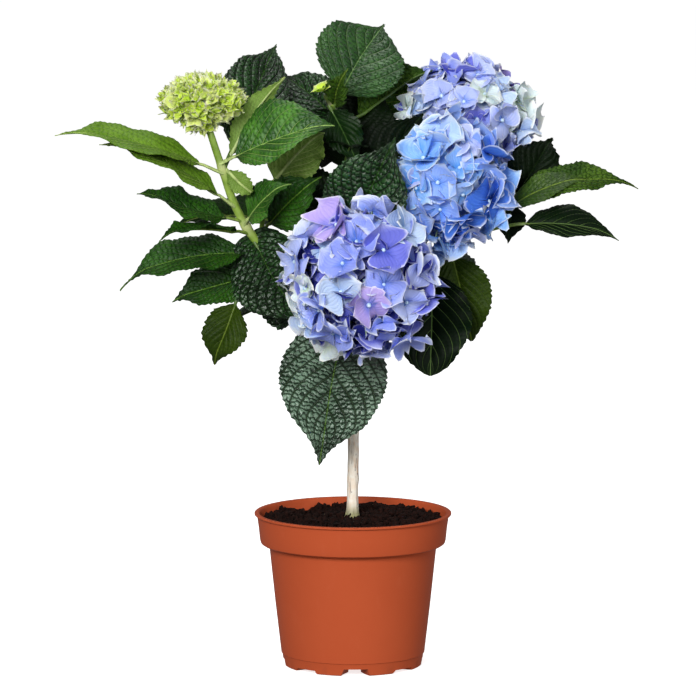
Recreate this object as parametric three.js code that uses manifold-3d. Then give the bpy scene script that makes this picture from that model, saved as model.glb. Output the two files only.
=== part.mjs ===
// A potted hydrangea: one bare stem in a plastic nursery pot, green boughs that fork above it,
// four flower heads, a small bud, and the large single leaves between them.
// Millimetres, +Z up. The origin is the middle of the pot's underside, and -Y is the show side.
import * as THREE from "three";
import { mergeVertices } from "three/addons/utils/BufferGeometryUtils.js";
import Module from "manifold-3d";

const wasm = await Module();
wasm.setup();

// ---------------------------------------------------------------- driving dimensions

const GAP = 0.3;

// pot
const POT_SIDES = 28;
const RIM_RADIUS = 70.2;
const RIM_TOP = 109.6;
const RIM_LIP = 1.6;
const BAND_TOP_RADIUS = 68.4;
const BAND_FOOT_RADIUS = 66.3;
const BAND_FOOT = 91.2;
const WALL_TOP_RADIUS = 59.8;
const WALL_TOP = 86.2;
const WALL_FOOT_RADIUS = 51.2;
const FOOT_RADIUS = 50.4;
const FOOT_STEP = 9;
const WALL = 1.8;
const FLOOR_TOP = 7;
const RECESS_HEIGHT = 5;
const FOOT_RING_INNER = 34;
const BOSS_RADIUS = 13;
const NOTCHES = 8;
const NOTCH_TURN = 2.5;
const NOTCH_WIDTH = 22.5;
const NOTCH_TOP_WIDTH = 17.8;
const NOTCH_HEIGHT = 5;
const SMALL_NOTCH_HEIGHT = 2.4;
const NOTCH_SIDES_MEET = 22.6;

// compost
const SOIL_EDGE = 103;
const SOIL_CROWN = 106;
const SOIL_ROUGHNESS = 1.1;

// stem and boughs
const STEM_FOOT = SOIL_CROWN + GAP;
const STEM_RADIUS = 4;
const FLARE_RADIUS = 5.8;
const FLARE_HEIGHT = 7;
const FORK = [0, 0, 236];
const LIMB_SIDES = 8;
const LIMB_STEP = 30;

// leaves
const STALK_SHARE = 0.15;
const STALK_WIDTH = 2.6;
const TIP_WIDTH = 1.2;
const RIB_THICKNESS = 1.3;
const EDGE_THICKNESS = 0.6;
const BLADE_STATIONS = [0, 0.1, 0.28, 0.5, 0.72, 0.9, 1];
const REAR_STATIONS = [0, 0.12, 0.36, 0.66, 0.88, 1];

// ---------------------------------------------------------------- colours

const paint = (color, roughness) => new THREE.MeshStandardMaterial({ color, roughness, metalness: 0 });
const FINISH = {
  pot: paint(0xba5434, 0.5),
  compost: paint(0x35241b, 0.95),
  bark: paint(0xc9a98f, 0.8),
  shoot: paint(0xa4bf52, 0.55),
  leaf: paint(0x2c5a24, 0.45),
  young_leaf: paint(0x4f8a35, 0.5),
  lavender_bloom: paint(0x9a9ae2, 0.7),
  blue_bloom: paint(0x7396e6, 0.7),
  lilac_bloom: paint(0xb4b2e8, 0.7),
  green_bloom: paint(0xc9e26c, 0.7),
};

// ---------------------------------------------------------------- limbs

// Each bough is a smooth line through a few points, from the fork to the bloom or bud it carries.
// radius: at its foot and at its tip.
const BOUGHS = {
  left_bough: {
    line: [FORK, [-30, -12, 268], [-71, -20, 310], [-84, -22, 334], [-91, -24, 355], [-101, -26, 386]],
    radius: [3.6, 2.4],
  },
  front_bough: { line: [FORK, [2, -22, 250], [3, -45, 268], [3, -62, 280]], radius: [2.8, 2.3] },
  blue_bough: { line: [FORK, [22, -4, 264], [46, -8, 298], [62, -12, 326]], radius: [3.0, 2.4] },
  lilac_bough: { line: [FORK, [14, 16, 272], [42, 38, 322], [68, 52, 362]], radius: [3.0, 2.4] },
  top_bough: {
    line: [FORK, [-4, 8, 282], [-7, 14, 332], [-6, 12, 380], [-20, -4, 408]],
    radius: [3.2, 1.5],
  },
  back_bough: { line: [FORK, [-14, 26, 272], [-32, 56, 316], [-42, 78, 352]], radius: [3.0, 1.8] },
  right_bough: {
    line: [FORK, [30, 3, 266], [60, 3, 298], [80, 2, 309], [94, 2, 310], [106, 5, 322], [113, 8, 334]],
    radius: [2.8, 1.6],
  },
  side_shoot: {
    line: [[-46, -13, 284], [-58, -8, 298], [-64, -8, 306], [-60, -12, 341]],
    radius: [2.2, 1.5],
  },
};

// ---------------------------------------------------------------- flower heads

// centre; radius across; radii ahead of and behind the centre; the way it faces; depth of its
// lumps; narrow: the share of its width lost by that depth under its centre
const BLOOMS = {
  front_bloom: {
    centre: [3, -75, 284], across: [57, 57], ahead: 38, behind: 22, faces: [-0.05, -1, 0.1],
    lumps: 0.05, finish: "lavender_bloom",
  },
  blue_bloom: {
    centre: [67, -22, 342], across: [46, 54], ahead: 34, behind: 20, faces: [0.2, -0.95, 0.2],
    lumps: 0.06, finish: "blue_bloom", narrow: { share: 0.6, depth: 54 },
  },
  lilac_bloom: {
    centre: [79, 50, 382], across: [51, 46], ahead: 48, behind: 18, faces: [0.2, -0.35, 0.9],
    lumps: 0.05, finish: "lilac_bloom",
  },
  green_bloom: {
    centre: [-106, -27, 400], across: [32, 31], ahead: 26, behind: 20, faces: [-0.1, -0.15, 1],
    lumps: 0.06, finish: "green_bloom", narrow: { share: 0.85, depth: 22 },
  },
  bud: {
    centre: [-23, -10, 414], across: [5, 5], ahead: 7, behind: 5, faces: [-0.4, -0.4, 0.8],
    lumps: 0.1, finish: "green_bloom", detail: 1,
  },
};

// ---------------------------------------------------------------- leaves

// from: bough and how far along it the stalk starts. heading and rise: degrees, from root to tip,
// with heading 0 along +X and 270 towards the show side. lean: 0 when the upper face looks up,
// 90 when it looks to the show side, negative when it looks away. arch: height of the midrib's bow
// as a share of the reach. fold: degrees that each half rises from the midrib. stalk: the share of
// the reach before the blade. stations: shares of the blade at which its width is set.
const leaf = (bough, at, heading, rise, reach, width, lean, more = {}) => ({
  bough, at, heading, rise, reach, width, lean,
  arch: 0.09, fold: 12, stalk: STALK_SHARE, finish: "leaf", stations: BLADE_STATIONS, ...more,
});

const LEAVES = {
  // left side, from the top down
  leaf_tall_left: leaf("left_bough", 0.84, 61, 47, 116, 50, 80, { arch: 0.06 }),
  leaf_pale_strip: leaf("left_bough", 0.84, 5, 56, 78, 34, -62, { finish: "young_leaf" }),
  leaf_bright: leaf("left_bough", 0.86, 342, 21, 88, 62, 40, {
    finish: "young_leaf", arch: 0.05, fold: 22,
  }),
  leaf_long_left: leaf("left_bough", 0.82, 198, 16, 125, 44, 20, { finish: "young_leaf", arch: 0.05 }),
  leaf_pale_hanging: leaf("left_bough", 0.84, 322, -29, 34, 15, -100, { finish: "young_leaf" }),
  leaf_under_left: leaf("left_bough", 0.68, 197, 28, 109, 42, 20, { arch: 0.06 }),
  leaf_mid_left: leaf("left_bough", 0.63, 199, 18, 79, 42, 24, { arch: -0.03 }),
  leaf_edge_left: leaf("left_bough", 0.57, 216, 3, 77, 32, 2, { arch: 0.06 }),
  leaf_wing: leaf("left_bough", 0.61, 312, 37, 54, 32, 50),
  leaf_curled_left: leaf("left_bough", 0.47, 195, -8, 108, 44, 30, { arch: 0.08 }),
  leaf_low_left: leaf("left_bough", 0.4, 190, -16, 81, 36, 50, { arch: 0.02, stalk: 0.25 }),
  leaf_round: leaf("left_bough", 0.54, 314, -50, 66, 60, 90, { arch: 0.03, stalk: 0.04 }),
  leaf_round_upper: leaf("left_bough", 0.16, 207, 38, 84, 46, 82, { arch: 0.05, stalk: 0.3 }),
  leaf_hanging_left: leaf("left_bough", 0.5, 203, -65, 90, 33, 50, { arch: 0.12, stalk: 0.5 }),
  leaf_shoot_underside: leaf("side_shoot", 0.98, 341, 48, 62, 44, -60),
  leaf_shoot_crinkled: leaf("side_shoot", 0.55, 332, 41, 60, 40, 65),
  // middle and top
  leaf_bottom: leaf("left_bough", 0.05, 249, -61, 103, 78, 88, { arch: 0.05, stalk: 0.1 }),
  leaf_centre: leaf("left_bough", 0.22, 321, 58, 136, 62, 78, { arch: 0.05, stalk: 0.4 }),
  leaf_top: leaf("top_bough", 0.94, 51, 42, 84, 66, 74, { stalk: 0.1 }),
  leaf_top_ribbed: leaf("top_bough", 0.82, 26, 26, 84, 48, -62, { stalk: 0.2 }),
  leaf_top_left: leaf("top_bough", 0.8, 143, 36, 68, 38, 60),
  leaf_bud_guard: leaf("top_bough", 0.93, 292, 49, 34, 20, 60),
  leaf_bud_lower: leaf("top_bough", 0.94, 322, -60, 46, 28, 85, { stalk: 0.05 }),
  leaf_dark_underside: leaf("top_bough", 0.66, 158, 32, 60, 56, -50, { stations: REAR_STATIONS }),
  leaf_shade_left: leaf("top_bough", 0.45, 184, 40, 58, 40, 60, { stations: REAR_STATIONS }),
  leaf_shade_right: leaf("top_bough", 0.5, 358, 50, 88, 52, 75),
  leaf_shade_top: leaf("top_bough", 0.62, 66, 64, 80, 54, 88, { stations: REAR_STATIONS }),
  leaf_shade_gap: leaf("top_bough", 0.62, 277, 35, 52, 34, -60, { stations: REAR_STATIONS }),
  // right side
  leaf_low_right: leaf("right_bough", 0.5, 272, -60, 89, 58, 90, { arch: 0.05 }),
  leaf_low_right_rear: leaf("right_bough", 0.61, 349, -75, 73, 43, 85, { arch: 0.05 }),
  leaf_right_low: leaf("right_bough", 0.76, 352, 0, 100, 38, 30, { arch: 0.11, stalk: 0.34 }),
  leaf_right_high: leaf("right_bough", 0.98, 352, 8.5, 91, 32, 38, { arch: 0.16, stalk: 0.06 }),
  leaf_right_inner: leaf("right_bough", 0.93, 340, 23, 66, 24, 48, { arch: 0.14, stalk: 0.1 }),
  leaf_right_dark: leaf("right_bough", 0.96, 34, 50, 62, 38, 66),
  leaf_right_fork: leaf("right_bough", 0.98, 262, -66, 30, 22, 85, { stalk: 0.05 }),
  // away from the show side
  leaf_back_high: leaf("back_bough", 0.97, 80, 34, 96, 58, -30, { stations: REAR_STATIONS }),
  leaf_back_high_left: leaf("back_bough", 0.9, 150, 26, 96, 56, -20, { stations: REAR_STATIONS }),
  leaf_back_left: leaf("back_bough", 0.6, 165, 4, 104, 58, -25, { stations: REAR_STATIONS }),
  leaf_back_right: leaf("back_bough", 0.58, 62, 10, 98, 56, -25, { stations: REAR_STATIONS }),
  leaf_back_low: leaf("back_bough", 0.34, 100, -16, 108, 60, -40, { stations: REAR_STATIONS }),
  leaf_back_low_right: leaf("lilac_bough", 0.35, 40, -8, 98, 56, -20, { stations: REAR_STATIONS }),
  leaf_back_mid_right: leaf("lilac_bough", 0.7, 66, 20, 96, 54, -25, { stations: REAR_STATIONS }),
  leaf_back_low_left: leaf("back_bough", 0.25, 205, -12, 92, 50, -20, { stations: REAR_STATIONS }),
};

// ---------------------------------------------------------------- shapes

const vector = (list) => new THREE.Vector3(...list);

// A wavy number for each direction or place, the same on every run.
const ripple = (x, y, z, seed) =>
  (Math.sin(5.1 * x + 1.7 * y + seed) + Math.sin(4.3 * y - 2.9 * z + 2 * seed)
    + Math.sin(6.7 * z + 3.1 * x + 3 * seed)) / 3;

function toSolid(geometry) {
  const bare = geometry.clone();
  bare.deleteAttribute("normal");
  bare.deleteAttribute("uv");
  const merged = mergeVertices(bare, 1e-4);
  return new wasm.Manifold(new wasm.Mesh({
    numProp: 3,
    vertProperties: new Float32Array(merged.attributes.position.array),
    triVerts: new Uint32Array(merged.index.array),
  }));
}

function toGeometry(solid) {
  const mesh = solid.getMesh();
  const geometry = new THREE.BufferGeometry();
  const places = new Float32Array(mesh.vertProperties);
  geometry.setAttribute("position", new THREE.BufferAttribute(places, 3));
  geometry.setIndex(Array.from(mesh.triVerts));
  geometry.computeVertexNormals();
  return geometry;
}

// Moves every vertex of a geometry to where the given function puts it.
function reshape(geometry, place) {
  const position = geometry.attributes.position;
  const v = new THREE.Vector3();
  for (let i = 0; i < position.count; i += 1) {
    v.fromBufferAttribute(position, i);
    v.copy(place(v));
    position.setXYZ(i, v.x, v.y, v.z);
  }
  return geometry;
}

// The pot's wall, band, rim, floor and foot are one turned profile, and the foot ring is notched.
function potSolid() {
  const inner = (radius) => radius - WALL;
  const profile = [
    [0, 0],
    [BOSS_RADIUS, 0],
    [BOSS_RADIUS, RECESS_HEIGHT],
    [FOOT_RING_INNER, RECESS_HEIGHT],
    [FOOT_RING_INNER, 0],
    [FOOT_RADIUS - 1, 0],
    [FOOT_RADIUS, FOOT_STEP - 1],
    [WALL_FOOT_RADIUS, FOOT_STEP],
    [WALL_TOP_RADIUS, WALL_TOP],
    [BAND_FOOT_RADIUS - 2.4, BAND_FOOT - 2.2],
    [BAND_FOOT_RADIUS, BAND_FOOT + 1.5],
    [BAND_TOP_RADIUS, RIM_TOP - RIM_LIP],
    [RIM_RADIUS, RIM_TOP - RIM_LIP + 0.5],
    [RIM_RADIUS, RIM_TOP],
    [inner(BAND_TOP_RADIUS), RIM_TOP],
    [inner(BAND_FOOT_RADIUS), BAND_FOOT + 1.5],
    [inner(WALL_TOP_RADIUS), WALL_TOP],
    [inner(WALL_FOOT_RADIUS), FLOOR_TOP],
    [0, FLOOR_TOP],
  ].map(([r, z]) => new THREE.Vector2(r, z));
  const turned = new THREE.LatheGeometry(profile, POT_SIDES);
  turned.rotateX(Math.PI / 2);
  let pot = toSolid(turned);

  const opening = (height) => new THREE.Shape([
    new THREE.Vector2(-NOTCH_WIDTH / 2, -1),
    new THREE.Vector2(NOTCH_WIDTH / 2, -1),
    new THREE.Vector2(NOTCH_TOP_WIDTH / 2, height),
    new THREE.Vector2(-NOTCH_TOP_WIDTH / 2, height),
  ]);
  // Each notch narrows towards the middle of the pot.
  const narrowing = (radius) =>
    (radius - NOTCH_SIDES_MEET) / (FOOT_RADIUS - NOTCH_SIDES_MEET);
  for (let k = 0; k < NOTCHES; k += 1) {
    const height = k % 2 ? SMALL_NOTCH_HEIGHT : NOTCH_HEIGHT;
    const cutter = new THREE.ExtrudeGeometry(opening(height), { depth: 24, bevelEnabled: false });
    cutter.rotateX(Math.PI / 2);
    cutter.translate(0, -FOOT_RING_INNER + 2, 0);
    reshape(cutter, (v) => v.setX(v.x * narrowing(-v.y)));
    cutter.rotateZ(THREE.MathUtils.degToRad(NOTCH_TURN + (360 / NOTCHES) * k));
    pot = pot.subtract(toSolid(cutter));
  }
  return pot;
}

// Compost fills the pot to a rough top, a little below the rim, and is heaped round the stem.
function soilGeometry() {
  const inside = (radius) => radius - WALL - 2 * GAP;
  const rings = [0.12, 0.3, 0.5, 0.7, 0.86];
  const edge = inside(BAND_FOOT_RADIUS + 1.2);
  const profile = [
    [0, FLOOR_TOP + GAP],
    [inside(WALL_FOOT_RADIUS), FLOOR_TOP + GAP],
    [inside(WALL_TOP_RADIUS), WALL_TOP],
    [inside(BAND_FOOT_RADIUS), BAND_FOOT + 1.5],
    [edge, SOIL_EDGE],
    ...rings.toReversed().map((share) => [edge * share, SOIL_EDGE]),
    [0, SOIL_EDGE],
  ].map(([r, z]) => new THREE.Vector2(r, z));
  const turned = new THREE.LatheGeometry(profile, POT_SIDES / 2);
  turned.rotateX(Math.PI / 2);
  return reshape(turned, (v) => {
    const out = Math.hypot(v.x, v.y) / edge;
    if (v.z < SOIL_EDGE - 0.01 || out > 0.99) return v;
    const heap = (SOIL_CROWN - SOIL_EDGE) * (1 - out) ** 1.4;
    const rough = out > 0.2 ? SOIL_ROUGHNESS * ripple(v.x / 9, v.y / 9, 0, 2) : 0;
    return v.setZ(out < 0.2 ? SOIL_CROWN : SOIL_EDGE + 0.6 + heap + rough);
  });
}

// A round limb that follows a curve, with a radius for each share of its length.
function limbGeometry(curve, radiusAt, clearance = 0) {
  const steps = Math.max(2, Math.round(curve.getLength() / LIMB_STEP));
  const frames = curve.computeFrenetFrames(steps);
  const rod = new THREE.CylinderGeometry(1, 1, 1, LIMB_SIDES, steps);
  return reshape(rod, (v) => {
    const step = Math.round((0.5 - v.y) * steps);
    const radius = radiusAt(step / steps) + clearance;
    return curve.getPointAt(step / steps)
      .addScaledVector(frames.normals[step], v.x * radius)
      .addScaledVector(frames.binormals[step], v.z * radius);
  });
}

function stemGeometry(clearance = 0) {
  const height = FORK[2] - STEM_FOOT;
  const line = [STEM_FOOT, STEM_FOOT + FLARE_HEIGHT, 150, 195, FORK[2] - 1]
    .map((z, i) => new THREE.Vector3([0.6, 0.5, 0.2, 0.4, 0][i], 0, z));
  const curve = new THREE.CatmullRomCurve3(line);
  const flare = (share) =>
    (FLARE_RADIUS - STEM_RADIUS) * Math.exp((-share * height) / (FLARE_HEIGHT / 2));
  return limbGeometry(curve, (share) => STEM_RADIUS + flare(share) - 0.2 * share, clearance);
}

const boughCurve = (name) => new THREE.CatmullRomCurve3(BOUGHS[name].line.map(vector));

function boughGeometry(name, clearance = 0) {
  const [foot, tip] = BOUGHS[name].radius;
  return limbGeometry(boughCurve(name), (share) => THREE.MathUtils.lerp(foot, tip, share), clearance);
}

// A flower head: a lumpy dome that is fuller ahead than behind.
function bloomGeometry(head, clearance = 0) {
  const { centre, across, ahead, behind, faces, lumps, narrow, detail = 3 } = head;
  const upright = new THREE.Vector3(0, 0, 1);
  const turn = new THREE.Quaternion().setFromUnitVectors(upright, vector(faces).normalize());
  const ball = new THREE.IcosahedronGeometry(1, detail);
  return reshape(ball, (v) => {
    const swell = 1 + lumps * ripple(v.x * 1.4, v.y * 1.4, v.z * 1.4, across[0]);
    const lengthwise = v.z > 0 ? ahead : behind;
    const skin = new THREE.Vector3(
      v.x * (across[0] * swell + clearance),
      v.y * (across[1] * swell + clearance),
      v.z * (lengthwise * swell + clearance),
    ).applyQuaternion(turn);
    if (narrow) {
      const drop = THREE.MathUtils.clamp(-skin.z / narrow.depth, 0, 1);
      const kept = 1 - narrow.share * drop * drop;
      skin.set(skin.x * kept, skin.y * kept, skin.z);
    }
    return skin.add(vector(centre));
  });
}

// The line from a leaf's root to its tip, the way its upper face looks, and its width's direction.
function leafFrame({ heading, rise, lean }) {
  const h = THREE.MathUtils.degToRad(heading);
  const r = THREE.MathUtils.degToRad(rise);
  const l = THREE.MathUtils.degToRad(lean);
  const along = new THREE.Vector3(Math.cos(r) * Math.cos(h), Math.cos(r) * Math.sin(h), Math.sin(r));
  const face = new THREE.Vector3(0, -Math.sin(l), Math.cos(l));
  face.addScaledVector(along, -face.dot(along)).normalize();
  return { along, face, across: new THREE.Vector3().crossVectors(face, along) };
}

// Half the blade's width, as a share of its greatest half width: oval with a drawn-out tip.
const outline = (share) => Math.sin(Math.PI * share ** 0.8) ** 0.85;

// A leaf: stalk and thin blade in one, bowed along the midrib and folded up from it on both sides.
function leafGeometry(row, clearance = 0) {
  const { bough, at, reach, width, arch, fold, stalk, stations } = row;
  const { along, face, across } = leafFrame(row);
  const root = boughCurve(bough).getPointAt(at);
  const tilt = Math.tan(THREE.MathUtils.degToRad(fold));
  const box = new THREE.BoxGeometry(1, 1, 1, stations.length, 2, 1);
  return reshape(box, (v) => {
    const station = Math.round((v.x + 0.5) * stations.length);
    const blade = station === 0 ? 0 : stations[station - 1];
    const share = station === 0 ? 0 : stalk + (1 - stalk) * blade;
    const taper = THREE.MathUtils.lerp(STALK_WIDTH, TIP_WIDTH, share) / 2;
    const half = Math.max(taper, (width / 2) * (outline(blade) || 0)) + clearance;
    const thickness = (v.y === 0 ? RIB_THICKNESS : EDGE_THICKNESS) / 2 + clearance;
    const bow = 4 * arch * reach * share * (1 - share);
    const side = v.y * 2 * half;
    const end = station === 0 ? -clearance : station === stations.length ? clearance : 0;
    return root.clone()
      .addScaledVector(along, reach * share + end)
      .addScaledVector(across, side)
      .addScaledVector(face, bow + Math.abs(side) * tilt + Math.sign(v.z) * thickness);
  });
}

// ---------------------------------------------------------------- assembly

const hydrangea = new THREE.Group();
hydrangea.name = "potted_hydrangea";
const placed = [];

const apart = (a, b) => {
  const one = a.boundingBox();
  const two = b.boundingBox();
  return [0, 1, 2].some((k) => one.max[k] < two.min[k] || two.max[k] < one.min[k]);
};

const largest = (solid) => solid.decompose().reduce((a, b) => (a.volume() > b.volume() ? a : b));

// Adds a piece, cut clear of everything placed before it. make(clearance) builds its geometry.
function place(name, finish, make) {
  let solid = toSolid(make(0));
  for (const other of placed) {
    if (!apart(solid, other)) solid = solid.subtract(other);
  }
  const mesh = new THREE.Mesh(toGeometry(largest(solid)), FINISH[finish].clone());
  mesh.name = name;
  hydrangea.add(mesh);
  placed.push(toSolid(make(GAP)));
}

const pot = new THREE.Mesh(toGeometry(potSolid()), FINISH.pot.clone());
pot.name = "pot";
hydrangea.add(pot);

place("compost", "compost", soilGeometry);
place("stem", "bark", stemGeometry);
for (const [name, bloom] of Object.entries(BLOOMS)) {
  place(name, bloom.finish, (clearance) => bloomGeometry(bloom, clearance));
}
for (const name of Object.keys(BOUGHS)) {
  place(name, "shoot", (clearance) => boughGeometry(name, clearance));
}
for (const [name, row] of Object.entries(LEAVES)) {
  place(name, row.finish, (clearance) => leafGeometry(row, clearance));
}

export default hydrangea;
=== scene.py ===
import math
import zlib

import bpy
import numpy as np
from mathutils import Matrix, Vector
from mathutils.bvhtree import BVHTree


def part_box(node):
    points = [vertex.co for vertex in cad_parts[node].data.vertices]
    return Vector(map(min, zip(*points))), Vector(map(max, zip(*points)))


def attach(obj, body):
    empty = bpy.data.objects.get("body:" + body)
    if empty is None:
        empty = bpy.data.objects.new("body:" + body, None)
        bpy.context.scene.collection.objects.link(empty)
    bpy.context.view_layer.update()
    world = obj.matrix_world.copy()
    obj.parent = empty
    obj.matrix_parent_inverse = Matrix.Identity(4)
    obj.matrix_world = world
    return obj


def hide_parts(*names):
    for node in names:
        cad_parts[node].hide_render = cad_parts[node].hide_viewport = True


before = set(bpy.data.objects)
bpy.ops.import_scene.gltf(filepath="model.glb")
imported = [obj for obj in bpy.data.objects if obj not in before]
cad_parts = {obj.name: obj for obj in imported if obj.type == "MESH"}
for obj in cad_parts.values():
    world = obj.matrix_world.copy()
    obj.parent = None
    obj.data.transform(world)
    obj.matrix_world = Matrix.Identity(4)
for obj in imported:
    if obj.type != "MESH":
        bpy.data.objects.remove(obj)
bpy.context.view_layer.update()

# A potted hydrangea: a turned plastic pot of compost, one woody stem, green boughs, leaves
# with serrated edges, three blue mop-heads, a green unopened head and a bud.

MM = 0.001
BAKE_MAP = "OFBake"

# ---- Finishes ----


def paint(red, green, blue):
    """A paint-chart colour as the shader wants it."""
    shares = [channel / 255 for channel in (red, green, blue)]
    return [s / 12.92 if s <= 0.04045 else ((s + 0.055) / 1.055) ** 2.4 for s in shares] + [1]


def mixed(first, second, share):
    """A colour between two others."""
    return [a * (1 - share) + b * share for a, b in zip(first, second)]


def maths(operation, flipped=False, **settings):
    """A method that hands a wire and its other values to a Math node."""

    def run(wire, *values):
        ordered = (*values, wire) if flipped else (wire, *values)
        chosen = {"operation": operation, **settings}
        return wire.finish.node("ShaderNodeMath", chosen, dict(enumerate(ordered)))(0)

    return run


class Wire:
    """A shader socket that can be written into sums, products and powers."""

    def __init__(self, finish, socket):
        self.finish = finish
        self.socket = socket

    __add__ = __radd__ = maths("ADD")
    __sub__ = maths("SUBTRACT")
    __rsub__ = maths("SUBTRACT", flipped=True)
    __mul__ = __rmul__ = maths("MULTIPLY")
    __pow__ = maths("POWER")
    __abs__ = maths("ABSOLUTE")
    sine = maths("SINE")
    nearest = maths("ROUND")
    floor = maths("FLOOR")
    clamped_sum = maths("ADD", use_clamp=True)

    def held(self):
        """This value kept between nothing and one."""
        return self.clamped_sum(0.0)

    def between(self, low, high):
        """A smooth step from nothing at low to one at high."""
        settings = {"interpolation_type": "SMOOTHSTEP"}
        inputs = {"Value": self, "From Min": low, "From Max": high}
        return self.finish.node("ShaderNodeMapRange", settings, inputs)(0)


class Finish:
    """One procedural material in the making."""

    def __init__(self, name):
        self.material = bpy.data.materials.new(name)
        self.material.use_nodes = True
        self.tree = self.material.node_tree
        self.tree.nodes.clear()
        self.place = self.node("ShaderNodeTexCoord", {}, {})("Object")

    def node(self, kind, settings, inputs):
        made = self.tree.nodes.new(kind)
        for key, value in settings.items():
            if key == "stops":
                self.set_stops(made.color_ramp, value)
            else:
                setattr(made, key, value)
        for key, value in inputs.items():
            if isinstance(value, Wire):
                self.tree.links.new(value.socket, made.inputs[key])
            else:
                made.inputs[key].default_value = value
        return lambda key: Wire(self, made.outputs[key])

    def set_stops(self, ramp, stops):
        while len(ramp.elements) < len(stops):
            ramp.elements.new(0.5)
        for element, (place, colour) in zip(ramp.elements, stops):
            element.position = place
            element.color = colour

    def parts(self, attribute=None):
        """The three numbers of a piece's own attribute, or of its place."""
        settings = {"attribute_name": attribute}
        vector = self.node("ShaderNodeAttribute", settings, {})("Vector") if attribute else self.place
        split = self.node("ShaderNodeSeparateXYZ", {}, {0: vector})
        return split(0), split(1), split(2)

    def spread(self, stretch):
        """Where a pattern is read: the piece's own place, drawn out along its axes."""
        if stretch is None:
            return self.place
        settings = {"operation": "MULTIPLY"}
        return self.node("ShaderNodeVectorMath", settings, {0: self.place, 1: stretch})(0)

    def noise(self, scale, detail=3.0, rough=0.55, warp=0.0, stretch=None):
        inputs = {"Vector": self.spread(stretch), "Scale": scale, "Detail": detail}
        inputs.update({"Roughness": rough, "Distortion": warp})
        return self.node("ShaderNodeTexNoise", {}, inputs)(0)

    def cells(self, scale, stretch=None):
        inputs = {"Vector": self.spread(stretch), "Scale": scale}
        return self.node("ShaderNodeTexVoronoi", {}, inputs)(0)

    def blend(self, share, first, second):
        """first where share is nothing, second where it is one."""
        settings = {"data_type": "RGBA"}
        return self.node("ShaderNodeMix", settings, {0: share, 6: first, 7: second})(2)

    def ramp(self, share, stops):
        return self.node("ShaderNodeValToRGB", {"stops": stops}, {0: share})(0)

    def surface(self, colour, roughness, height, depth, shine=0.5, **constants):
        """Ends the material: colour, gloss, a relief of that depth in metres, and constants."""
        relief = self.node("ShaderNodeBump", {}, {"Height": height, "Distance": depth})
        inputs = {"Base Color": colour, "Roughness": roughness, "Specular IOR Level": shine}
        inputs["Normal"] = relief("Normal")
        for name, value in constants.items():
            inputs[name.replace("_", " ").title()] = value
        shader = self.node("ShaderNodeBsdfPrincipled", {}, inputs)("BSDF")
        self.node("ShaderNodeOutputMaterial", {}, {"Surface": shader})
        return self.material


def pot_finish():
    finish = Finish("terracotta_plastic")
    cloud = finish.noise(26, 3)
    grain = finish.noise(1900, 2)
    smear = finish.noise(90, 4, stretch=(1, 1, 0.4))
    height = finish.parts()[2]
    dusty = (1 - height.between(0.001, 0.01)) * smear.between(0.45, 0.62)
    body = finish.blend(cloud, paint(181, 79, 45), paint(188, 85, 50))
    worn = finish.blend(smear.between(0.55, 0.8) * 0.15, body, paint(199, 101, 68))
    colour = finish.blend(dusty * 0.3, worn, paint(140, 66, 44))
    roughness = 0.42 + smear * 0.1 + dusty * 0.15
    return finish.surface(colour, roughness, grain + smear * 0.15, 0.00006, shine=0.07)


def compost_finish(name="crumbled_compost"):
    finish = Finish(name)
    lump = finish.noise(240, 5, 0.65)
    fibre = finish.noise(900, 3, 0.7, stretch=(1, 2.5, 1))
    speck = 1 - finish.cells(520).between(0.04, 0.1)
    rare = finish.noise(330, 1).between(0.6, 0.66)
    dark = finish.blend(lump.between(0.35, 0.7), paint(16, 5, 2), paint(40, 16, 9))
    brown = finish.blend(fibre.between(0.6, 0.78) * 0.6, dark, paint(84, 42, 22))
    colour = finish.blend(speck * rare, brown, paint(176, 154, 124))
    roughness = 0.75 + fibre * 0.2
    return finish.surface(colour, roughness, lump + fibre * 0.5, 0.0011, shine=0.15)


def bark_finish():
    finish = Finish("fissured_bark")
    strip = finish.noise(620, 4, 0.6, 0.4, stretch=(1, 1, 0.07))
    crack = finish.noise(1150, 3, 0.6, stretch=(1, 1, 0.05))
    fleck = 1 - finish.cells(430, stretch=(1, 1, 0.45)).between(0.1, 0.2)
    patch = finish.noise(150, 3)
    height = finish.parts()[2]
    moss = (1 - height.between(0.107, 0.118)) * patch.between(0.2, 0.45)
    pale = finish.blend(patch.between(0.3, 0.7), paint(248, 230, 206), paint(255, 249, 236))
    tan = finish.blend(strip.between(0.56, 0.66) * 0.75, pale, paint(208, 150, 98))
    split = crack.between(0.6, 0.68)
    dark = finish.blend(split * 0.55, tan, paint(134, 98, 74))
    flecked = finish.blend(fleck * patch.between(0.48, 0.56), dark, paint(84, 60, 48))
    colour = finish.blend(moss * 0.85, flecked, paint(128, 128, 56))
    return finish.surface(colour, 0.66 + strip * 0.2, strip - split * 0.8, 0.0007)


def shoot_finish(name, low, high):
    """Green boughs: smooth rind with fine ridges, corky brown specks and pale nodes."""
    finish = Finish(name)
    ridge = finish.noise(420, 3, stretch=(1, 1, 0.2))
    cloud = finish.noise(60, 3)
    speck = 1 - finish.cells(520, stretch=(1, 1, 0.5)).between(0.08, 0.18)
    node = finish.parts("node")[0]
    green = finish.blend(cloud.between(0.3, 0.7), low, high)
    ridge_tone = mixed(high, paint(230, 236, 170), 0.5)
    ridged = finish.blend(ridge.between(0.5, 0.75) * 0.3, green, ridge_tone)
    ringed = (node * cloud.between(0.2, 0.5)).held()
    pale = finish.blend(ringed * 0.5, ridged, mixed(high, paint(230, 220, 180), 0.7))
    colour = finish.blend(speck * cloud.between(0.5, 0.6) * 0.6, pale, paint(112, 80, 50))
    return finish.surface(colour, 0.38 + cloud * 0.12, ridge - speck * 0.4, 0.00025)


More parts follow.
